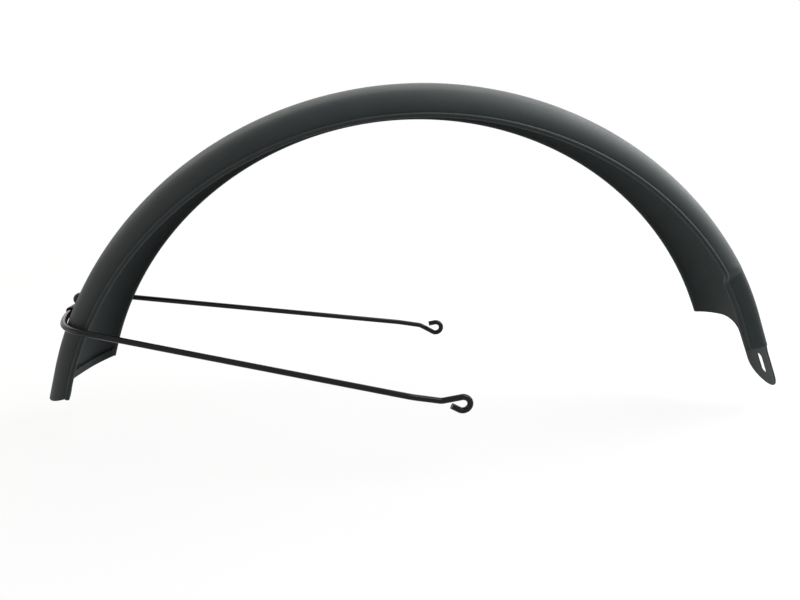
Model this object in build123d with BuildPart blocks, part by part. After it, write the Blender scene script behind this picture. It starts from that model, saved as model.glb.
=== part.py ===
"""Rear mudguard for a 20-inch bicycle wheel: a pressed steel blade, a bent wire stay and its clip.

Millimetres. The origin is midway between the stay's two eyes, on their bolt axis.
+X is forward, +Y is to the bicycle's left and +Z is up, so the chain runs on the -Y side.
"""
import os
from math import asin, atan2, cos, degrees, radians, sin, sqrt, tan

from build123d import *

os.makedirs("parts", exist_ok=True)

# Wheel centre, from which the blade is struck, measured from the stay eyes
wheel_x = -19.6
wheel_z = -78.0

# Blade section
apex_radius = 275.0  # wheel centre to the outer face at the top of the crown
sheet = 1.0
blade_width = 72.0  # over the outer faces of the side walls
crown_radius = 68.0
shoulder_radius = 17.0
bead_diameter = 3.0
curl_turn = 270.0  # how far the edge is rolled round, in degrees

# Blade ends, as angles up from the forward horizontal through the wheel centre
tail_angle = 161.0  # where the arc runs out into the straight tail
tail_length = 27.0  # straight run of the crown, to the end cut
tail_rake = 38.4  # lean of the end cut, so that the walls stop short of the crown
front_angle = 25.7  # where the arc runs out into the straight front
bridge_angle = 62.0
hem_width = 6.0
hem_gap = 1.4

# Front end, with lengths measured forward from the end of the arc
tongue_width = 31.0
tongue_length = 69.0
root_fillet = 11.0
trim_lean = 25.0  # lean of the front cut, so that the walls stop short of the crown
far_wall_length = 18.6
near_wall_length = 25.8
slot_width = 5.5
slot_length = 18.0
slot_centre = 55.6
bridge_hole = 6.5

# Flat pressed into the shoulder on the chain side
dent_angle = 28.0  # angle at which the flat lies square to the blade
dent_top_y = -17.0  # where the pressing runs out on the crown
dent_edge_y = -33.0
dent_drop = 3.09  # middle of the bead to the foot of the flat
dent_round = 9.0  # rounding between the flat and the crown
dent_crease = 5.0  # angle left between that rounding and the crown
dent_start = 34.0  # how far behind dent_angle the flat begins, at the edge
dent_skew = 20.0
dent_step_slope = 45.0
near_bead_end = 38.2
flat_bead_height = 3.2

# Wire stay
wire_diameter = 4.0
stay_pitch = 9.7  # rise of the legs from the eyes to the crown, in degrees
eye_spacing = 145.0
shank_length = 33.0  # centre of the eye to the bend that turns the wire parallel to the bicycle
eye_hole = 5.5
eye_shank = 14.0  # centre of the eye to the shank's bend
eye_tail = 5.5  # straight wire left after the loop
shank_bend_radius = 8.0
leg_bend_radius = 40.0
bead_clearance = 0.5
crown_clearance = 0.15

# Stay clip and its fastening
clip_sheet = 1.0
clip_width = 13.0
clip_pitch = 8.5  # bolt axis to wire, along the crown
clip_tab = 6.5  # bolt axis to the end of the tab
clip_bend_radius = 0.8
clip_tab_corner = 4.0
clip_seat = 0.05
wire_grip = 0.2
bolt_diameter = 5.0
bolt_head_diameter = 9.0
bolt_head_height = 4.6
bolt_length = 9.5
bolt_play = 0.3
washer_diameter = 10.0
washer_thickness = 1.0
nut_across_flats = 8.0
nut_height = 4.0
thread_play = 0.1
seat_gap = 0.02

# Derived section sizes, across the blade (y) and out from the wheel centre (radius)
half_width = blade_width / 2
bead_radius = bead_diameter / 2
bead_y = half_width - sheet + bead_radius
crown_level = apex_radius - crown_radius
shoulder_y = half_width - shoulder_radius
shoulder_rise = sqrt((crown_radius - shoulder_radius) ** 2 - shoulder_y**2)
bead_level = crown_level + shoulder_rise
crown_edge = degrees(atan2(shoulder_rise, shoulder_y))
wire_radius = wire_diameter / 2
reach = 90.0  # longer than any cut has to be

wheel_axis = Axis((wheel_x, 0, wheel_z), (0, 1, 0))


def outward(angle):
    """Unit vector from the wheel centre at an angle up from the forward horizontal."""
    return Vector(cos(radians(angle)), 0, sin(radians(angle)))


def forward(angle):
    """Unit vector along the blade towards its front end."""
    return Vector(sin(radians(angle)), 0, -cos(radians(angle)))


def blade_point(angle, radius, y=0.0, along=0.0):
    """Point at an angle and radius, moved along the blade's tangent."""
    spot = outward(angle) * radius + forward(angle) * along
    return Vector(wheel_x, y, wheel_z) + spot


def section_plane(angle):
    """Plane across the blade: local x is +Y, local y points out from the wheel centre."""
    return Plane(Vector(wheel_x, 0, wheel_z), x_dir=(0, 1, 0), z_dir=forward(angle))


def crown_plane(angle, along=0.0):
    """Plane touching the crown: local x runs to the tail, local z points out."""
    return Plane(blade_point(angle, apex_radius, along=along), x_dir=-forward(angle), z_dir=outward(angle))


def crown_outline(inset):
    """Lines of the section's arch, set in from the outer face, down to the level of the beads."""
    CenterArc((0, crown_level), crown_radius - inset, crown_edge, 180 - 2 * crown_edge)
    CenterArc((shoulder_y, bead_level), shoulder_radius - inset, 0, crown_edge)
    CenterArc((-shoulder_y, bead_level), shoulder_radius - inset, 180 - crown_edge, crown_edge)


def curl_outline():
    """Lines of the rolled edge on the +Y wall."""
    end = 180 + curl_turn
    hollow = bead_radius - sheet
    CenterArc((bead_y, bead_level), bead_radius, 180, curl_turn)
    CenterArc((bead_y, bead_level), hollow, 180, curl_turn)
    rim = Vector(cos(radians(end)), sin(radians(end)))
    centre = Vector(bead_y, bead_level)
    Line(centre + rim * hollow, centre + rim * bead_radius)


def arch_band(outer, inner):
    """Closed band of the section between two insets, down to the level of the beads."""
    with BuildLine() as band:
        crown_outline(outer)
        crown_outline(inner)
        for side in (1, -1):
            Line((side * (half_width - outer), bead_level), (side * (half_width - inner), bead_level))
    make_face(band.edges())


# Stay plane: distances p run back from the eyes along the legs, to the crown at p = stay_back
stay_run = Vector(-cos(radians(stay_pitch)), 0, sin(radians(stay_pitch)))
stay_up = Vector(sin(radians(stay_pitch)), 0, cos(radians(stay_pitch)))
wire_level = apex_radius + crown_clearance + wire_radius
eye_offset = stay_run.dot(Vector(-wheel_x, 0, -wheel_z))
stay_back = sqrt(eye_offset**2 + wire_level**2 - wheel_x**2 - wheel_z**2) - eye_offset
wire_spot = stay_run * stay_back - Vector(wheel_x, 0, wheel_z)
wire_angle = degrees(atan2(wire_spot.Z, wire_spot.X))
bolt_angle = wire_angle - degrees(clip_pitch / apex_radius)

# Tail hem: the end of the sheet turned in and back along the inside
tail_end = outward(tail_angle) * -sin(radians(tail_rake)) - forward(tail_angle) * cos(radians(tail_rake))
tail_plane = Plane(
    blade_point(tail_angle, apex_radius, along=-tail_length), x_dir=(0, 1, 0), z_dir=tail_end
)
hem_depth = hem_width * cos(radians(tail_rake))
tail_stock = 2 * tail_length

with BuildPart() as hem:
    with BuildSketch(section_plane(tail_angle)):
        arch_band(sheet + hem_gap, 2 * sheet + hem_gap)
    extrude(amount=-tail_stock)
    split(bisect_by=tail_plane, keep=Keep.BOTTOM)
    split(bisect_by=tail_plane.offset(-hem_depth), keep=Keep.TOP)

with BuildPart() as hem_fold:
    with BuildSketch(section_plane(tail_angle)):
        arch_band(sheet, sheet + hem_gap)
    extrude(amount=-tail_stock)
    split(bisect_by=tail_plane, keep=Keep.BOTTOM)
    split(bisect_by=tail_plane.offset(-sheet), keep=Keep.TOP)

# Dent: a flat across the shoulder, rounded into the crown, behind a skewed and sloping step
dent_foot = Vector(dent_edge_y, bead_level - dent_drop)
dent_top = Vector(dent_top_y, crown_level + sqrt(crown_radius**2 - dent_top_y**2))
press_turn = asin(dent_top_y / crown_radius)
press_out = Vector(sin(press_turn), cos(press_turn))
press_way = Vector(cos(press_turn), -sin(press_turn))
round_hub = dent_top - press_out.rotate(Axis.Z, dent_crease) * dent_round
hub_way = round_hub - dent_foot
flat_turn = atan2(hub_way.Y, hub_way.X) + asin(dent_round / hub_way.length)
flat_way = Vector(cos(flat_turn), sin(flat_turn))
flat_out = Vector(-sin(flat_turn), cos(flat_turn))
dent_plane = section_plane(dent_angle)


def in_section(vector):
    """Direction in the dent's section turned into a direction in space."""
    return Vector(0, vector.X, 0) + outward(dent_angle) * vector.Y


dent_corner = blade_point(dent_angle, dent_foot.Y, dent_foot.X, -dent_start)
step_way = in_section(flat_way) * cos(radians(dent_skew)) + forward(dent_angle) * sin(radians(dent_skew))
step_run = in_section(flat_out).cross(step_way)
if step_run.dot(forward(dent_angle)) < 0:
    step_run = -step_run
step_out = step_run * sin(radians(dent_step_slope)) + in_section(flat_out) * cos(radians(dent_step_slope))


def press_part(depth):
    """Solid that presses the dent, moved in from the outer face by a depth."""
    foot = dent_foot - flat_out * depth - flat_way * reach / 2
    hub_foot = round_hub + flat_out * (dent_round - depth)
    hub_top = round_hub + press_out * (dent_round - depth)
    hub_middle = round_hub + (flat_out + press_out).normalized() * (dent_round - depth)
    far_top = hub_top + press_way * half_width
    with BuildPart() as press:
        with BuildSketch(dent_plane):
            with BuildLine():
                Line(foot, hub_foot)
                ThreePointArc(hub_foot, hub_middle, hub_top)
                Polyline(
                    hub_top,
                    far_top,
                    far_top + Vector(0, reach),
                    foot + Vector(-reach, reach),
                    foot + Vector(-reach, 0),
                    foot,
                )
            make_face()
        extrude(amount=reach, both=True)
        split(bisect_by=Plane(dent_corner - step_out * depth, z_dir=step_out), keep=Keep.TOP)
    return press.part


outer_press = press_part(0)
inner_press = press_part(sheet)


def front_stretch(inset, drop):
    """Filled arch from the end of the near bead to the tip, along the arc and then straight on."""
    near_y = inset - half_width
    far_y = half_width - inset
    for start, straight in ((near_bead_end, False), (front_angle, True)):
        with BuildSketch(section_plane(start)) as filled:
            with BuildLine():
                crown_outline(inset)
                Polyline(
                    (far_y, bead_level),
                    (0, bead_level),
                    (0, drop),
                    (near_y, drop),
                    (near_y, bead_level),
                )
            make_face()
        if straight:
            extrude(filled.sketch, amount=reach)
        else:
            revolve(filled.sketch, axis=wheel_axis, revolution_arc=near_bead_end - front_angle)


floor_level = dent_foot.Y - 2 * sheet

with BuildPart() as front_hollow:
    front_stretch(sheet, floor_level)
    add(inner_press, mode=Mode.SUBTRACT)

# Blade: front stretch with its dent, then the rest of the arc, the hem and the cuts
with BuildPart() as blade:
    front_stretch(0, floor_level)
    add(outer_press, mode=Mode.SUBTRACT)
    add(front_hollow.part, mode=Mode.SUBTRACT)

    # Bead pressed flat along the foot of the dent
    bead_top = dent_foot + flat_way * flat_bead_height
    with BuildSketch(section_plane(dent_angle).offset(-dent_start)):
        with BuildLine():
            Polyline(
                dent_foot, bead_top, bead_top + flat_out * sheet, dent_foot + flat_out * sheet, close=True
            )
        make_face()
    extrude(amount=reach)

    # Straight foot of the dented wall
    foot_plane = Plane(
        blade_point(dent_angle, dent_foot.Y), x_dir=forward(dent_angle), z_dir=-outward(dent_angle)
    )
    with BuildSketch(foot_plane):
        with Locations((0, -half_width / 2)):
            Rectangle(4 * reach, half_width)
    extrude(amount=reach / 2, mode=Mode.SUBTRACT)

    # Rolled edge of the far wall, along the arc and then straight on
    for start, straight in ((near_bead_end, False), (front_angle, True)):
        with BuildSketch(section_plane(start)):
            with BuildLine():
                curl_outline()
                Line((half_width - sheet, bead_level), (half_width, bead_level))
            make_face()
        if straight:
            extrude(amount=reach)
        else:
            revolve(axis=wheel_axis, revolution_arc=near_bead_end - front_angle)

    # Whole section, with both rolled edges, from the tail to the dent
    with BuildSketch(section_plane(tail_angle)) as whole_section:
        with BuildLine():
            curl_outline()
            mirror(about=Plane.YZ)
            crown_outline(0)
            crown_outline(sheet)
        make_face()
    revolve(axis=wheel_axis, revolution_arc=tail_angle - near_bead_end)
    extrude(whole_section.sketch, amount=-tail_stock)

    # Raked tail end with its hem
    with BuildSketch(tail_plane):
        Rectangle(2 * reach, 2 * reach)
    extrude(amount=reach, mode=Mode.SUBTRACT)
    add(hem.part)
    add(hem_fold.part)

    # Front cut round the tongue
    trim_way = outward(front_angle) * cos(radians(trim_lean)) + forward(front_angle) * sin(radians(trim_lean))
    trim_plane = Plane(blade_point(front_angle, apex_radius), x_dir=(0, 1, 0), z_dir=-trim_way)
    tongue_half = tongue_width / 2
    with BuildSketch(trim_plane) as front_trim:
        for side, wall_length in ((1, far_wall_length), (-1, near_wall_length)):
            with Locations((side * reach / 2, wall_length + reach / 2)):
                Rectangle(reach, reach)
        with Locations((0, tongue_length / 2 - tongue_half / 2)):
            Rectangle(tongue_width, tongue_length - tongue_half, mode=Mode.SUBTRACT)
        with Locations((0, tongue_length - tongue_half)):
            Circle(tongue_half, mode=Mode.SUBTRACT)
        longest_wall = max(far_wall_length, near_wall_length)
        roots = front_trim.vertices().filter_by(
            lambda v: abs(abs(v.X) - tongue_half) < seat_gap and v.Y < longest_wall + seat_gap
        )
        fillet(roots, root_fillet)
    extrude(amount=reach, both=True, mode=Mode.SUBTRACT)

    # Slot in the tongue, bridge hole and clip bolt hole
    with BuildSketch(crown_plane(front_angle, along=slot_centre)):
        SlotOverall(slot_length, slot_width)
    extrude(amount=shoulder_radius, both=True, mode=Mode.SUBTRACT)
    for angle, diameter in ((bridge_angle, bridge_hole), (bolt_angle, bolt_diameter + bolt_play)):
        with BuildSketch(Plane(blade_point(angle, apex_radius), x_dir=(0, 1, 0), z_dir=outward(angle))):
            Circle(diameter / 2)
        extrude(amount=shoulder_radius, both=True, mode=Mode.SUBTRACT)

blade.part.label = "mudguard_blade"
export_step(blade.part, "parts/mudguard_blade.step")


# Wire stay: crown bend, shoulder bends, splayed legs and an eye at each end
crown_bend = crown_radius + wire_radius + crown_clearance
shoulder_bend = shoulder_radius + wire_radius + 2 * bead_clearance
bead_p = stay_back - (apex_radius - bead_level) / cos(radians(wire_angle - 180 + stay_pitch))
leg_y = bead_y + bead_radius + bead_clearance + wire_radius
eye_y = eye_spacing / 2
lean = atan2(eye_y - leg_y, bead_p - shank_length)
leg_offset = bead_p * sin(lean) + leg_y * cos(lean)
bend_centre = stay_back - crown_bend
bend_sine = (leg_offset - shoulder_bend - bend_centre * sin(lean)) / (crown_bend - shoulder_bend)
bend_turn = asin(bend_sine) - lean
shoulder_p = bend_centre + (crown_bend - shoulder_bend) * cos(bend_turn)
shoulder_out = (crown_bend - shoulder_bend) * sin(bend_turn)
kink_length = leg_bend_radius * tan(lean / 2)
eye_radius = eye_hole / 2 + wire_radius
shank_turn = asin(eye_radius / eye_shank)
shank_bend = shank_bend_radius * tan(shank_turn / 2)


def stay_point(p, y, rise=0.0):
    """Point on the stay: back from the eyes, across, and square up from the plane of the legs."""
    return stay_run * p + Vector(0, y, 0) + stay_up * rise


def on_bend(centre, radius, turn):
    """Point at an angle on a bend in the plane of the legs."""
    return centre[0] + radius * cos(turn), centre[1] + radius * sin(turn)


def stay_half(side, over):
    """Edges from the crown to one eye; over is 1 where the shank passes above the eye, or -1."""
    shoulder = (shoulder_p, shoulder_out)
    kink = (shank_length - kink_length, eye_y - leg_bend_radius)
    flat = [
        on_bend((bend_centre, 0), crown_bend, bend_turn),
        on_bend(shoulder, shoulder_bend, (bend_turn + radians(90) - lean) / 2),
        on_bend(shoulder, shoulder_bend, radians(90) - lean),
        (shank_length + kink_length * cos(lean), eye_y - kink_length * sin(lean)),
        on_bend(kink, leg_bend_radius, radians(90) - lean / 2),
        (shank_length - kink_length, eye_y),
        (eye_shank + shank_bend, eye_y),
    ]
    crown_end, mid_shoulder, leg_top, leg_end, mid_kink, shank_top, shank_end = [
        stay_point(p, side * y) for p, y in flat
    ]
    ThreePointArc(crown_end, mid_shoulder, leg_top)
    Line(leg_top, leg_end)
    ThreePointArc(leg_end, mid_kink, shank_top)
    Line(shank_top, shank_end)

    half = shank_turn / 2
    bend_p = eye_shank + shank_bend
    mid_bend = (bend_p - shank_bend_radius * sin(half), shank_bend_radius * (1 - cos(half)))
    bend_end = (eye_shank - shank_bend * cos(shank_turn), shank_bend * sin(shank_turn))
    loop_start = (eye_radius * sin(shank_turn), eye_radius * cos(shank_turn))
    loop_end = (loop_start[0], -loop_start[1])
    tail_end_point = (
        loop_end[0] + eye_tail * cos(shank_turn),
        loop_end[1] + eye_tail * sin(shank_turn),
    )
    bend_mid, bend_far, loop_in, loop_mid, loop_out, tip = [
        stay_point(p, side * eye_y, over * rise)
        for p, rise in (mid_bend, bend_end, loop_start, (-eye_radius, 0), loop_end, tail_end_point)
    ]
    ThreePointArc(shank_end, bend_mid, bend_far)
    Line(bend_far, loop_in)
    ThreePointArc(loop_in, loop_mid, loop_out)
    Line(loop_out, tip)


with BuildPart() as stay:
    with BuildLine() as wire_path:
        near_crown = on_bend((bend_centre, 0), crown_bend, -bend_turn)
        far_crown = on_bend((bend_centre, 0), crown_bend, bend_turn)
        ThreePointArc(stay_point(*near_crown), stay_point(stay_back, 0), stay_point(*far_crown))
        stay_half(-1, 1)
        stay_half(1, -1)
    with BuildSketch(Plane(wire_path.wire() @ 0, z_dir=wire_path.wire() % 0)):
        Circle(wire_radius)
    sweep(path=wire_path.wire())

stay.part.label = "wire_stay"
export_step(stay.part, "parts/wire_stay.step")

# Stay clip: a flat tab under the bolt head, arched over the wire
wire_turn = radians(wire_angle - bolt_angle)
wire_t = wire_level * sin(wire_turn)
wire_n = wire_level * cos(wire_turn) - apex_radius
clip_inner = wire_radius + wire_grip
clip_outer = clip_inner + clip_sheet
clip_plane = Plane(
    blade_point(bolt_angle, apex_radius), x_dir=-forward(bolt_angle), z_dir=(0, 1, 0)
)
clip_top = clip_seat + clip_sheet

with BuildPart() as clip:
    with BuildSketch(clip_plane) as clip_side:
        with BuildLine():
            CenterArc((wire_t, wire_n), clip_inner, 0, 180)
            CenterArc((wire_t, wire_n), clip_outer, 0, 180)
            Polyline(
                (wire_t - clip_inner, wire_n),
                (wire_t - clip_inner, clip_seat),
                (-clip_tab, clip_seat),
                (-clip_tab, clip_top),
                (wire_t - clip_outer, clip_top),
                (wire_t - clip_outer, wire_n),
            )
            Polyline(
                (wire_t + clip_inner, wire_n),
                (wire_t + clip_inner, clip_seat),
                (wire_t + clip_outer, clip_seat),
                (wire_t + clip_outer, wire_n),
            )
        make_face()
        bends = clip_side.vertices().filter_by(lambda v: abs(v.X - wire_t + clip_outer) < seat_gap)
        fillet(bends.sort_by(Axis.Y)[0], clip_bend_radius)
    extrude(amount=clip_width / 2, both=True)
    tab_end = clip.edges().filter_by(Axis(clip_plane.origin, outward(bolt_angle)))
    fillet(tab_end.sort_by(Axis(clip_plane.origin, forward(bolt_angle)))[-2:], clip_tab_corner)
    with BuildSketch(crown_plane(bolt_angle)):
        Circle((bolt_diameter + bolt_play) / 2)
    extrude(amount=2 * clip_top, mode=Mode.SUBTRACT)

clip.part.label = "stay_clip"
export_step(clip.part, "parts/stay_clip.step")

# Clip bolt: domed head on the tab, shank in through the crown
bolt_seat = crown_plane(bolt_angle)
head_half = bolt_head_diameter / 2
head_rim = bolt_head_height / 4
bolt_side = Plane(bolt_seat.origin, x_dir=bolt_seat.x_dir, z_dir=(0, 1, 0))

with BuildPart() as bolt:
    with BuildSketch(bolt_side):
        with BuildLine():
            dome = bolt_head_height - head_rim
            dome_radius = (head_half**2 + dome**2) / (2 * dome)
            slope = (degrees(asin(head_half / dome_radius))) / 2
            dome_mid = (
                dome_radius * sin(radians(slope)),
                clip_top + bolt_head_height - dome_radius * (1 - cos(radians(slope))),
            )
            ThreePointArc((0, clip_top + bolt_head_height), dome_mid, (head_half, clip_top + head_rim))
            Polyline(
                (head_half, clip_top + head_rim),
                (head_half, clip_top),
                (bolt_diameter / 2, clip_top),
                (bolt_diameter / 2, clip_top - bolt_length),
                (0, clip_top - bolt_length),
                (0, clip_top + bolt_head_height),
            )
        make_face()
    revolve(axis=Axis(bolt_seat.origin, bolt_seat.z_dir))

bolt.part.label = "clip_bolt"
export_step(bolt.part, "parts/clip_bolt.step")

# Washer and nut inside the crown, where the washer's rim rests in the hollow of the sheet
hollow_radius = crown_radius - sheet
washer_seat = sheet + hollow_radius - sqrt(hollow_radius**2 - (washer_diameter / 2) ** 2) + seat_gap

with BuildPart() as washer:
    with BuildSketch(crown_plane(bolt_angle).offset(-washer_seat)):
        Circle(washer_diameter / 2)
        Circle((bolt_diameter + bolt_play) / 2, mode=Mode.SUBTRACT)
    extrude(amount=-washer_thickness)

washer.part.label = "clip_washer"
export_step(washer.part, "parts/clip_washer.step")

with BuildPart() as nut:
    with BuildSketch(crown_plane(bolt_angle).offset(-washer_seat - washer_thickness)):
        RegularPolygon(nut_across_flats / 2, 6, major_radius=False)
        Circle((bolt_diameter + thread_play) / 2, mode=Mode.SUBTRACT)
    extrude(amount=-nut_height)

nut.part.label = "clip_nut"
export_step(nut.part, "parts/clip_nut.step")
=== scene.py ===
"""Rear bicycle mudguard: satin black enamelled blade, wire stay and clip, on a white studio floor."""
from math import atan2, cos, pi, radians, sin, sqrt, tan

import bmesh
import bpy
from mathutils import Matrix, Vector


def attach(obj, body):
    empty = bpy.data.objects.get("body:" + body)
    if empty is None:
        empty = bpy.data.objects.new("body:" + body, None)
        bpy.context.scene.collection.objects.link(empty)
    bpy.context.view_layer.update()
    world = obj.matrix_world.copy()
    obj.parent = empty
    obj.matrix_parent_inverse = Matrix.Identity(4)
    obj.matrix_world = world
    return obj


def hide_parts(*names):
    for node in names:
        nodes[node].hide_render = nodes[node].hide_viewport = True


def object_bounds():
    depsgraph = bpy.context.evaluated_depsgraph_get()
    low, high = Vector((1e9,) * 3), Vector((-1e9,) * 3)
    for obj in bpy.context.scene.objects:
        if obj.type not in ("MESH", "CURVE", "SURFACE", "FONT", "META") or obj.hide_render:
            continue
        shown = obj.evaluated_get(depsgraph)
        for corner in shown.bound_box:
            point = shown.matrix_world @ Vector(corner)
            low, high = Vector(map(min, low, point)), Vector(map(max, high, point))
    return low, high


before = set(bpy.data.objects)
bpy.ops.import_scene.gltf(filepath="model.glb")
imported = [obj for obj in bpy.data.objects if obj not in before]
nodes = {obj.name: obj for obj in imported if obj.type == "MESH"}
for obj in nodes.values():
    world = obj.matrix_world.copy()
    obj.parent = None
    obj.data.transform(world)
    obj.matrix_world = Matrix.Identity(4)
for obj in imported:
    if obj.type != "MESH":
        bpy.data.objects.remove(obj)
cad_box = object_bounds()
scene = bpy.context.scene

MM = 0.001

# Camera, in millimetres and degrees
CAMERA_AT = (-59.6, -392.9, 167.7)
CAMERA_PAN = 3.437
CAMERA_TILT = 16.921
FOCAL_PX = 560.0
IMAGE_WIDTH_PX = 800.0
SENSOR_MM = 36.0
CLIP_START_M = 0.01
CLIP_END_M = 50.0

# Blade, in millimetres and degrees, struck from the wheel centre as the solid is
WHEEL = Vector((-19.6, 0.0, -78.0))
APEX_RADIUS = 275.0
SHEET = 1.0
HALF_WIDTH = 36.0
CROWN_RADIUS = 68.0
SHOULDER_RADIUS = 17.0
BEAD_RADIUS = 1.5
CURL_TURN = 270.0
TAIL_ANGLE = 161.0
TAIL_LENGTH = 27.0
TAIL_RAKE = 38.4
NEAR_TAIL_RAKE = 34.4  # the near wall runs a little further back than the solid's
FRONT_ANGLE = 25.7
HEM_WIDTH = 6.0
HEM_GAP = 1.4
TONGUE_HALF = 15.5
TONGUE_LENGTH = 69.0
ROOT_FILLET = 11.0
TRIM_LEAN = 25.0
FAR_WALL_LENGTH = 18.6
NEAR_WALL_LENGTH = 25.8
SLOT_WIDTH = 5.5
SLOT_LENGTH = 18.0
SLOT_CENTRE = 55.6
BRIDGE_ANGLE = 62.0
BRIDGE_HOLE = 6.5
BOLT_ANGLE = 151.71
BOLT_HOLE = 5.3

# Dent in the chain-side wall: runs are along the blade from the start of its straight front
DENT_Y = -25.3  # middle of the pressed wall's sheet where the straight front starts
DENT_YAW = 0.05  # how fast the pressed wall nears the middle of the blade
DENT_LEAN = 0.16  # how fast the pressed wall leaves the middle of the blade towards the crown
DENT_START = -40.8  # where the step into the dent ends, at the bead
DENT_SKEW = -4.5  # lean of that end, in degrees
DENT_STEP_SLOPE = 36.0
BEAD_RUN_START = -54.0  # where the bead starts to flatten
BEAD_RUN_OUT = 13.0  # length over which the bead is squashed flat
FLAT_FOLD = 0.75  # radius of the squashed bead's fold, to the middle of the sheet
RIM_SOFTNESS = 7.0  # how widely the pressed wall is rounded into the shoulder
STEP_SOFTNESS = 3.0  # the same at the step's top
CREASE_SOFTNESS = 0.8  # rounding at the step's foot
SAG_START = -45.0
SAG_RATE = 0.012  # how fast the shoulder sinks along the dent
SAG_FROM_Y = -12.0
SAG_TO_Y = -24.0
SAG_HEIGHT = 13.0  # above the bead, where the sinking is full
NEAR_TRIM_LEAN = 7.7
NEAR_TRIM_LENGTH = 25.25
NEAR_TRIM_SHARE = 0.3  # share of the shoulder over which the front cut turns to the near wall's lean

# Studio, in metres and watts
WARM = (1.0, 0.97, 0.88)
COOL = (0.95, 0.98, 1.0)
WHITE = (1.0, 1.0, 1.0)
LAMPS = (  # name, place, target, size, power and tint
    ("top_box", (0.7, -0.05, 1.3), (0.0, 0.0, 0.1), (1.4, 0.9), 17.5, WHITE),
    ("back_box", (0.0, 1.2, 0.9), (0.0, 0.0, 0.1), (2.6, 0.9), 13.0, WARM),
    ("right_box", (1.1, 0.25, 0.75), (0.1, 0.0, 0.1), (1.2, 1.2), 25.0, COOL),
    ("left_box", (-1.4, 0.4, 0.8), (-0.1, 0.0, 0.1), (1.2, 1.2), 5.0, WARM),
    ("fill_box", (-1.4, -0.6, 0.1), (0.2, 0.0, 0.1), (0.9, 0.9), 5.5, WARM),
)
WORLD_LEVEL = 0.03
FLOOR_HALF = 4.0
FLOOR_DROP = 0.02  # below the lowest point of the object
FLOOR_SHADE = 0.4  # what the floor throws back onto the object
FLOOR_GLOW = 0.83
FLOOR_LIT = 0.15
SHADOW_REACH = 0.45  # from the origin, within which the floor takes the whole shadow
FLOOR_REACH = 1.2  # where the shadow has faded out

# Enamel
MOTTLE_SCALE = 45.0
MOTTLE_DETAIL = 4.0
PEEL_SCALE = 900.0
PEEL_DETAIL = 3.0
PEEL_DEPTH = 0.0002
NOISE_LOW = 0.3  # most of the noise lies between these two
NOISE_HIGH = 0.7

# Derived section sizes, to the middle of the sheet
HALF_SHEET = SHEET / 2
CROWN_LEVEL = APEX_RADIUS - CROWN_RADIUS
SHOULDER_Y = HALF_WIDTH - SHOULDER_RADIUS
SHOULDER_RISE = sqrt((CROWN_RADIUS - SHOULDER_RADIUS) ** 2 - SHOULDER_Y**2)
BEAD_LEVEL = CROWN_LEVEL + SHOULDER_RISE
CROWN_TURN = atan2(SHOULDER_Y, SHOULDER_RISE)
WALL_Y = HALF_WIDTH - HALF_SHEET
CURL_RADIUS = BEAD_RADIUS - HALF_SHEET
CURL_LENGTH = radians(CURL_TURN) * CURL_RADIUS - HALF_SHEET
HEM_FOLD = (SHEET + HEM_GAP) / 2
TONGUE_EDGE = TONGUE_HALF - HALF_SHEET
FILLET_EDGE = ROOT_FILLET + HALF_SHEET
FILLET_CENTRE = TONGUE_HALF + ROOT_FILLET

# Divisions of the blade's grid
TONGUE_STEPS = 12
FILLET_TURNS = (14, 26, 37, 47, 57, 66, 74)
SHOULDER_STEPS = 16
CURL_STEPS = 14
TAIL_STEPS = 10
COARSE_STEP = 0.6
FINE_STEP = 0.3
FINE_FROM = 44.0
FRONT_STEPS = 18
TIP_STEPS = 26
FOLD_STEPS = 6
HEM_STEPS = 4
RIM_STEPS = 4
HOLE_STEPS = 25  # odd, so that no corner of a hole lies on the middle line
TRIM_PASSES = 6  # enough for the front cut to settle
SHARP_ANGLE = 60.0
CUTTER_REACH = 6 * SHEET
TOUCH = 0.001  # points nearer than this count as one
SLIVER = 0.002  # edges shorter than this, left by the punch, are taken out


def make_camera():
    pan = radians(CAMERA_PAN)
    tilt = radians(CAMERA_TILT)
    ahead = Vector((sin(pan) * cos(tilt), cos(pan) * cos(tilt), -sin(tilt)))
    right = Vector((cos(pan), -sin(pan), 0.0))
    up = right.cross(ahead)
    data = bpy.data.cameras.new("camera")
    data.sensor_fit = "HORIZONTAL"
    data.sensor_width = SENSOR_MM
    data.lens = SENSOR_MM * FOCAL_PX / IMAGE_WIDTH_PX
    data.clip_start = CLIP_START_M
    data.clip_end = CLIP_END_M
    camera = bpy.data.objects.new("camera", data)
    turn = Matrix((right, up, -ahead)).transposed().to_4x4()
    camera.matrix_world = Matrix.Translation(Vector(CAMERA_AT) * MM) @ turn
    scene.collection.objects.link(camera)
    scene.camera = camera


def outward(angle):
    return Vector((cos(radians(angle)), 0.0, sin(radians(angle))))


def forward(angle):
    return Vector((sin(radians(angle)), 0.0, -cos(radians(angle))))


def place(angle, radius, y, along=0.0):
    """Point at an angle and radius from the wheel centre, moved along the blade's tangent."""
    return WHEEL + outward(angle) * radius + forward(angle) * along + Vector((0.0, y, 0.0))


def soft_min(a, b, width):
    near = max(width - abs(a - b), 0.0) / width
    return min(a, b) - near * near * width / 4


def soft_max(a, b, width):
    return -soft_min(-a, -b, width)


def smooth_step(value):
    value = min(max(value, 0.0), 1.0)
    return value * value * (3.0 - 2.0 * value)


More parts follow.
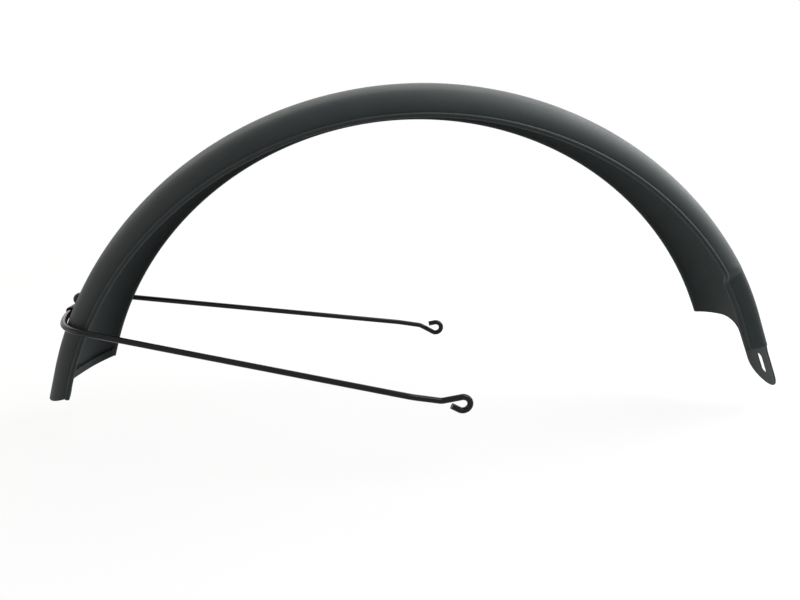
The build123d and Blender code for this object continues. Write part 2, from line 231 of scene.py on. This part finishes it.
def press(run, y, level):
    """Place in the dented section of a point of the near half, and how far the bead is squashed there."""
    sag = SAG_RATE * max(run - SAG_START, 0.0) * smooth_step((level - BEAD_LEVEL) / SAG_HEIGHT)
    level -= sag * smooth_step((SAG_FROM_Y - y) / (SAG_FROM_Y - SAG_TO_Y))
    floor = DENT_Y + DENT_YAW * run - DENT_LEAN * max(level - BEAD_LEVEL, 0.0)
    behind = DENT_START + (level - BEAD_LEVEL) * tan(radians(DENT_SKEW)) - run
    room = soft_max(0.0, behind * tan(radians(DENT_STEP_SLOPE)), CREASE_SOFTNESS)
    softness = RIM_SOFTNESS + (STEP_SOFTNESS - RIM_SOFTNESS) * smooth_step(room / STEP_SOFTNESS)
    squash = smooth_step((run - BEAD_RUN_START) / BEAD_RUN_OUT)
    return floor - soft_min(floor - y, room, softness), level, squash


def flat_hem(length):
    """Steps across and outward from the wall's end of the squashed bead, at a length along its curl."""
    turn = min(length / FLAT_FOLD, pi)
    straight = max(length - FLAT_FOLD * pi, 0.0)
    return -FLAT_FOLD * (1 - cos(turn)), straight - FLAT_FOLD * sin(turn)


class Line:
    """Line along the sheet: its place on the arch, and its length along the curl past the wall's end."""

    def __init__(self, side, y, radius, share, curl=0.0):
        self.side = side
        self.y = side * y
        self.radius = radius
        self.share = share
        self.curl = curl

    def at(self, angle, along=0.0):
        """Point of the sheet's middle surface, with the dent pressed in."""
        run = radians(FRONT_ANGLE - angle) * APEX_RADIUS + along
        y, level = self.y, self.radius
        turn = self.curl / CURL_RADIUS
        curl_y = self.side * CURL_RADIUS * (1 - cos(turn))
        curl_level = -CURL_RADIUS * sin(turn)
        if self.side < 0:
            y, level, squash = press(run, y, level)
            hem_y, hem_level = flat_hem(self.curl)
            curl_y += (hem_y - curl_y) * squash
            curl_level += (hem_level - curl_level) * squash
        return place(angle, level + curl_level, y + curl_y, along)

    def tail_reach(self):
        """Distance along the straight tail to the raked end, less the room for the hem's fold."""
        rake = NEAR_TAIL_RAKE if self.side < 0 else TAIL_RAKE
        rise = (APEX_RADIUS - self.radius) * tan(radians(rake))
        fold = 0.0 if self.curl > 0.0 else HEM_FOLD
        return rise - TAIL_LENGTH + fold + HALF_SHEET

    def front_reach(self, cut):
        """Distance along the straight front to the leaning cut, whose own reach depends on y."""
        lean = radians(TRIM_LEAN)
        near_lean = radians(NEAR_TRIM_LEAN)
        near = smooth_step(self.share / NEAR_TRIM_SHARE) if self.side < 0 else 0.0
        along = 0.0
        for _ in range(TRIM_PASSES):
            point = self.at(FRONT_ANGLE, along)
            depth = APEX_RADIUS - (point - WHEEL).dot(outward(FRONT_ANGLE))
            along = (cut(point.y) - depth * sin(lean)) / cos(lean)
            near_along = (NEAR_TRIM_LENGTH - depth * sin(near_lean)) / cos(near_lean)
            along += (near_along - along) * near
        return along


def wall_cut(y):
    """Reach of the front cut beside the tongue, with the fillet at the tongue's root."""
    wall = FAR_WALL_LENGTH if y > 0 else NEAR_WALL_LENGTH
    across = min(max(FILLET_CENTRE - abs(y), 0.0), FILLET_EDGE)
    return wall + ROOT_FILLET - sqrt(FILLET_EDGE**2 - across**2)


def root_cut(y):
    """Reach of the line across the tongue's root, from fillet to fillet."""
    blend = (y / TONGUE_EDGE + 1) / 2
    return NEAR_WALL_LENGTH + (FAR_WALL_LENGTH - NEAR_WALL_LENGTH) * blend + ROOT_FILLET


def tip_cut(y):
    """Reach of the tongue's rounded end."""
    return TONGUE_LENGTH - TONGUE_HALF + sqrt(max(TONGUE_EDGE**2 - y**2, 0.0))


def half_lines(side):
    """Lines of one half of the section, from beside the middle of the crown to the end of the curl."""
    crown = CROWN_RADIUS - HALF_SHEET
    shoulder = SHOULDER_RADIUS - HALF_SHEET
    across = [TONGUE_EDGE * sin(pi / 2 * i / TONGUE_STEPS) for i in range(1, TONGUE_STEPS + 1)]
    across += [FILLET_CENTRE - FILLET_EDGE * cos(radians(turn)) for turn in FILLET_TURNS]
    lines = [Line(side, y, CROWN_LEVEL + sqrt(crown**2 - y**2), 0.0) for y in across]
    for i in range(SHOULDER_STEPS + 1):
        share = i / SHOULDER_STEPS
        turn = CROWN_TURN + (pi / 2 - CROWN_TURN) * share
        y = SHOULDER_Y + shoulder * sin(turn)
        lines.append(Line(side, y, BEAD_LEVEL + shoulder * cos(turn), share))
    for i in range(1, CURL_STEPS + 1):
        lines.append(Line(side, WALL_Y, BEAD_LEVEL, 1.0, CURL_LENGTH * i / CURL_STEPS))
    return lines


def hem_points(lines, edge_row):
    """Rows of the tail hem, from its free edge through the fold to the end of the sheet."""
    back = -forward(TAIL_ANGLE)
    rows = []
    for step in range(HEM_STEPS, 0, -1):
        rows.append((pi, (HEM_WIDTH - HALF_SHEET) * step / HEM_STEPS))
    for step in range(FOLD_STEPS, 0, -1):
        rows.append((pi * step / FOLD_STEPS, 0.0))
    points = []
    for turn, run in rows:
        row = {}
        for index, line in enumerate(lines):
            if line.curl > 0.0:
                continue
            hub_y = line.side * SHOULDER_Y if line.share > 0.0 else 0.0
            hub_level = BEAD_LEVEL if line.share > 0.0 else CROWN_LEVEL
            inward = Vector((0.0, hub_y - line.y, 0.0))
            inward += outward(TAIL_ANGLE) * (hub_level - line.radius)
            inward.normalize()
            bend = back * (HEM_FOLD * sin(turn) - run) + inward * HEM_FOLD * (1 - cos(turn))
            row[index] = edge_row[index] + bend
        points.append(row)
    return points


def grid_rows(lines):
    """Rows of points on the sheet's middle surface, from the tail to the tip of the tongue."""
    rows = []
    for step in range(TAIL_STEPS):
        left = 1 - step / TAIL_STEPS
        rows.append({i: line.at(TAIL_ANGLE, line.tail_reach() * left) for i, line in enumerate(lines)})
    rows = hem_points(lines, rows[0]) + rows

    coarse = round((TAIL_ANGLE - FINE_FROM) / COARSE_STEP)
    fine = round((FINE_FROM - FRONT_ANGLE) / FINE_STEP)
    angles = [TAIL_ANGLE + (FINE_FROM - TAIL_ANGLE) * i / coarse for i in range(coarse)]
    angles += [FINE_FROM + (FRONT_ANGLE - FINE_FROM) * i / fine for i in range(fine + 1)]
    for angle in angles:
        rows.append({i: line.at(angle) for i, line in enumerate(lines)})

    on_tongue = [line.share == 0.0 and abs(line.y) <= TONGUE_EDGE + TOUCH for line in lines]
    root = [line.front_reach(root_cut if on_tongue[i] else wall_cut) for i, line in enumerate(lines)]
    tip = [line.front_reach(tip_cut) if on_tongue[i] else 0.0 for i, line in enumerate(lines)]
    for step in range(1, FRONT_STEPS + 1):
        part = step / FRONT_STEPS
        rows.append({i: line.at(FRONT_ANGLE, root[i] * part) for i, line in enumerate(lines)})
    for step in range(1, TIP_STEPS + 1):
        part = step / TIP_STEPS
        rows.append(
            {
                i: line.at(FRONT_ANGLE, root[i] + (tip[i] - root[i]) * part)
                for i, line in enumerate(lines)
                if on_tongue[i]
            }
        )
    return rows


def middle_surface():
    """Mesh of the sheet's middle surface, in metres."""
    middle = Line(1, 0.0, APEX_RADIUS - HALF_SHEET, 0.0)
    lines = half_lines(-1)[::-1] + [middle] + half_lines(1)
    rows = grid_rows(lines)
    surface = bmesh.new()
    verts = [{i: surface.verts.new(point * MM) for i, point in row.items()} for row in rows]
    for near, far in zip(verts, verts[1:]):
        for i in range(len(lines) - 1):
            if i in near and i in far and i + 1 in near and i + 1 in far:
                surface.faces.new((near[i], far[i], far[i + 1], near[i + 1]))
    surface.verts.index_update()
    surface.normal_update()
    return surface


def thicken(name, surface, thickness):
    """Closed sheet round a middle surface, with its free edges rounded."""
    half = thickness / 2
    count = len(surface.verts)
    points = [v.co + v.normal * half for v in surface.verts]
    points += [v.co - v.normal * half for v in surface.verts]
    faces = [[v.index for v in face.verts] for face in surface.faces]
    faces += [[v.index + count for v in reversed(face.verts)] for face in surface.faces]

    free_edges = []
    edge_way = {}
    for edge in surface.edges:
        if not edge.is_boundary:
            continue
        loop = edge.link_loops[0]
        start, end = loop.vert, loop.link_loop_next.vert
        free_edges.append((start.index, end.index))
        way = (end.co - start.co).cross(loop.face.normal).normalized()
        for vert in (start, end):
            edge_way[vert] = edge_way.get(vert, Vector()) + way

    rims = {}
    for vert, way in edge_way.items():
        way -= vert.normal * way.dot(vert.normal)
        way.normalize()
        ring = [vert.index]
        for step in range(1, RIM_STEPS):
            turn = pi * step / RIM_STEPS
            ring.append(len(points))
            points.append(vert.co + (vert.normal * cos(turn) + way * sin(turn)) * half)
        rims[vert.index] = ring + [vert.index + count]
    for start, end in free_edges:
        for k in range(RIM_STEPS):
            faces.append((rims[end][k], rims[start][k], rims[start][k + 1], rims[end][k + 1]))

    mesh = bpy.data.meshes.new(name)
    mesh.from_pydata(points, [], faces)
    surface.free()
    sheet = bpy.data.objects.new(name, mesh)
    scene.collection.objects.link(sheet)
    return sheet


def slot_outline(length, width):
    """Outline of a slot with round ends; a round hole where the length is the width."""
    radius = width / 2
    straight = (length - width) / 2
    turns = [pi * i / HOLE_STEPS for i in range(HOLE_STEPS + 1)]
    outline = [(straight + radius * sin(t), -radius * cos(t)) for t in turns]
    outline += [(-x, -y) for x, y in outline]
    return [outline[i] for i in range(len(outline)) if straight or i % (HOLE_STEPS + 1) < HOLE_STEPS]


def punch(sheet, cuts):
    """Cuts slots through the sheet: each is its angle, distance along, length and width."""
    cutter = bmesh.new()
    for angle, along, length, width in cuts:
        rings = []
        for level in (-CUTTER_REACH, CUTTER_REACH):
            base = place(angle, APEX_RADIUS + level, 0.0, along)
            rings.append(
                [
                    cutter.verts.new((base + forward(angle) * x + Vector((0.0, y, 0.0))) * MM)
                    for x, y in slot_outline(length, width)
                ]
            )
        low, high = rings
        cutter.faces.new(low[::-1])
        cutter.faces.new(high)
        for i, vert in enumerate(low):
            j = (i + 1) % len(low)
            cutter.faces.new((vert, low[j], high[j], high[i]))
    bmesh.ops.recalc_face_normals(cutter, faces=cutter.faces)
    mesh = bpy.data.meshes.new("cutter")
    cutter.to_mesh(mesh)
    cutter.free()
    tool = bpy.data.objects.new("cutter", mesh)
    scene.collection.objects.link(tool)

    cut = sheet.modifiers.new("punch", "BOOLEAN")
    cut.operation = "DIFFERENCE"
    cut.solver = "EXACT"
    cut.object = tool
    punched = bpy.data.meshes.new_from_object(sheet.evaluated_get(bpy.context.evaluated_depsgraph_get()))
    sheet.modifiers.clear()
    sheet.data = punched
    bpy.data.objects.remove(tool)
    clean = bmesh.new()
    clean.from_mesh(punched)
    bmesh.ops.dissolve_degenerate(clean, dist=SLIVER * MM, edges=clean.edges)
    clean.to_mesh(punched)
    clean.free()


def make_blade():
    blade = thicken("blade_sheet", middle_surface(), SHEET * MM)
    punch(
        blade,
        (
            (FRONT_ANGLE, SLOT_CENTRE, SLOT_LENGTH, SLOT_WIDTH),
            (BRIDGE_ANGLE, 0.0, BRIDGE_HOLE, BRIDGE_HOLE),
            (BOLT_ANGLE, 0.0, BOLT_HOLE, BOLT_HOLE),
        ),
    )
    smooth(blade.data)
    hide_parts("mudguard_blade")
    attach(blade, "root")
    return blade


def smooth(mesh):
    mesh.shade_smooth()
    mesh.set_sharp_from_angle(angle=radians(SHARP_ANGLE))


def node_material(name):
    material = bpy.data.materials.new(name)
    material.use_nodes = True
    tree = material.node_tree
    tree.nodes.clear()
    out = tree.nodes.new("ShaderNodeOutputMaterial")
    shader = tree.nodes.new("ShaderNodeBsdfPrincipled")
    tree.links.new(shader.outputs[0], out.inputs[0])
    return material, tree, shader


def noise(tree, coords, scale, detail, seed):
    tex = tree.nodes.new("ShaderNodeTexNoise")
    tex.noise_dimensions = "4D"
    tex.inputs["Scale"].default_value = scale
    tex.inputs["Detail"].default_value = detail
    tex.inputs["W"].default_value = seed
    tree.links.new(coords, tex.inputs["Vector"])
    return tex.outputs["Fac"]


def spread(tree, value, low, high, start=NOISE_LOW, end=NOISE_HIGH):
    """Value stretched from between start and end to between low and high."""
    step = tree.nodes.new("ShaderNodeMapRange")
    step.inputs["From Min"].default_value = start
    step.inputs["From Max"].default_value = end
    step.inputs["To Min"].default_value = low
    step.inputs["To Max"].default_value = high
    tree.links.new(value, step.inputs["Value"])
    return step.outputs["Result"]


def blend_colour(tree, factor, first, second):
    mix = tree.nodes.new("ShaderNodeMix")
    mix.data_type = "RGBA"
    mix.inputs["A"].default_value = (*first, 1.0)
    mix.inputs["B"].default_value = (*second, 1.0)
    tree.links.new(factor, mix.inputs["Factor"])
    return mix.outputs["Result"]


def enamel(name, dark, light, roughness, peel, seed, specular):
    """Sprayed black enamel: slight mottling, uneven gloss and a fine orange peel."""
    material, tree, shader = node_material(name)
    coords = tree.nodes.new("ShaderNodeTexCoord").outputs["Object"]
    cloud = noise(tree, coords, MOTTLE_SCALE, MOTTLE_DETAIL, seed)
    fine = noise(tree, coords, PEEL_SCALE, PEEL_DETAIL, seed + 1.0)
    mottle = blend_colour(tree, spread(tree, cloud, 0.0, 1.0), dark, light)
    tree.links.new(mottle, shader.inputs["Base Color"])
    tree.links.new(spread(tree, cloud, *roughness), shader.inputs["Roughness"])
    bump = tree.nodes.new("ShaderNodeBump")
    bump.inputs["Strength"].default_value = peel
    bump.inputs["Distance"].default_value = PEEL_DEPTH
    tree.links.new(fine, bump.inputs["Height"])
    tree.links.new(bump.outputs["Normal"], shader.inputs["Normal"])
    shader.inputs["Specular IOR Level"].default_value = specular
    return material


def make_stage():
    level = cad_box[0][2] - FLOOR_DROP
    corners = [(-1, -1), (1, -1), (1, 1), (-1, 1)]
    mesh = bpy.data.meshes.new("floor")
    mesh.from_pydata([(x * FLOOR_HALF, y * FLOOR_HALF, level) for x, y in corners], [], [(0, 1, 2, 3)])
    floor = bpy.data.objects.new("floor", mesh)
    scene.collection.objects.link(floor)
    floor.data.materials.append(floor_white())


def floor_white():
    """White floor that glows where it is seen, and round the object is lit as well, to take its shadow."""
    material = bpy.data.materials.new("floor_white")
    material.use_nodes = True
    tree = material.node_tree
    tree.nodes.clear()
    out = tree.nodes.new("ShaderNodeOutputMaterial")
    diffuse = tree.nodes.new("ShaderNodeBsdfDiffuse")
    diffuse.inputs["Color"].default_value = (FLOOR_SHADE, FLOOR_SHADE, FLOOR_SHADE, 1.0)

    distance = tree.nodes.new("ShaderNodeVectorMath")
    distance.operation = "LENGTH"
    tree.links.new(tree.nodes.new("ShaderNodeTexCoord").outputs["Object"], distance.inputs[0])
    glow = tree.nodes.new("ShaderNodeEmission")
    strength = spread(tree, distance.outputs["Value"], FLOOR_GLOW, 1.0, SHADOW_REACH, FLOOR_REACH)
    tree.links.new(strength, glow.inputs["Strength"])
    lit = tree.nodes.new("ShaderNodeBsdfDiffuse")
    shade = spread(tree, distance.outputs["Value"], FLOOR_LIT, 0.0, SHADOW_REACH, FLOOR_REACH)
    tree.links.new(shade, lit.inputs["Color"])
    seen = tree.nodes.new("ShaderNodeAddShader")
    tree.links.new(glow.outputs[0], seen.inputs[0])
    tree.links.new(lit.outputs[0], seen.inputs[1])

    mix = tree.nodes.new("ShaderNodeMixShader")
    tree.links.new(seen_directly(tree), mix.inputs["Fac"])
    tree.links.new(diffuse.outputs[0], mix.inputs[1])
    tree.links.new(seen.outputs[0], mix.inputs[2])
    tree.links.new(mix.outputs[0], out.inputs[0])
    return material


def seen_directly(tree):
    """1 for camera, glossy and transmission rays, and 0 for the rest."""
    path = tree.nodes.new("ShaderNodeLightPath")
    value = path.outputs["Is Camera Ray"]
    for other in ("Is Glossy Ray", "Is Transmission Ray"):
        most = tree.nodes.new("ShaderNodeMath")
        most.operation = "MAXIMUM"
        tree.links.new(value, most.inputs[0])
        tree.links.new(path.outputs[other], most.inputs[1])
        value = most.outputs[0]
    return value


def make_world():
    world = bpy.data.worlds.new("studio")
    world.use_nodes = True
    scene.world = world
    tree = world.node_tree
    tree.nodes.clear()
    out = tree.nodes.new("ShaderNodeOutputWorld")
    seen = tree.nodes.new("ShaderNodeBackground")
    seen.inputs["Color"].default_value = (1.0, 1.0, 1.0, 1.0)
    seen.inputs["Strength"].default_value = 1.0
    lit = tree.nodes.new("ShaderNodeBackground")
    lit.inputs["Color"].default_value = (1.0, 1.0, 1.0, 1.0)
    lit.inputs["Strength"].default_value = WORLD_LEVEL
    mix = tree.nodes.new("ShaderNodeMixShader")
    tree.links.new(seen_directly(tree), mix.inputs["Fac"])
    tree.links.new(lit.outputs[0], mix.inputs[1])
    tree.links.new(seen.outputs[0], mix.inputs[2])
    tree.links.new(mix.outputs[0], out.inputs[0])


def area_light(name, at, target, size, watts, tint):
    data = bpy.data.lights.new(name, "AREA")
    data.shape = "RECTANGLE"
    data.size, data.size_y = size
    data.energy = watts
    data.color = tint
    light = bpy.data.objects.new(name, data)
    light.location = at
    light.rotation_euler = (Vector(target) - Vector(at)).to_track_quat("-Z", "Y").to_euler()
    scene.collection.objects.link(light)


make_camera()
make_world()
make_stage()
for lamp in LAMPS:
    area_light(*lamp)

blade_paint = enamel(
    "blade_enamel", (0.037, 0.0425, 0.0435), (0.047, 0.054, 0.055), (0.58, 0.68), 0.12, 3.0, 0.15
)
wire_paint = enamel(
    "wire_enamel", (0.003, 0.003, 0.004), (0.005, 0.005, 0.006), (0.14, 0.22), 0.06, 11.0, 0.2
)
clip_paint = enamel(
    "clip_enamel", (0.006, 0.006, 0.007), (0.010, 0.010, 0.011), (0.35, 0.45), 0.1, 19.0, 0.1
)
fastener_paint = enamel(
    "fastener_black", (0.006, 0.0055, 0.006), (0.012, 0.011, 0.012), (0.35, 0.45), 0.1, 27.0, 0.1
)

make_blade().data.materials.append(blade_paint)
paints = {
    "wire_stay": wire_paint,
    "stay_clip": clip_paint,
    "clip_bolt": fastener_paint,
    "clip_washer": fastener_paint,
    "clip_nut": fastener_paint,
}
for name, paint in paints.items():
    nodes[name].data.materials.clear()
    nodes[name].data.materials.append(paint)

scene.view_settings.view_transform = "Standard"
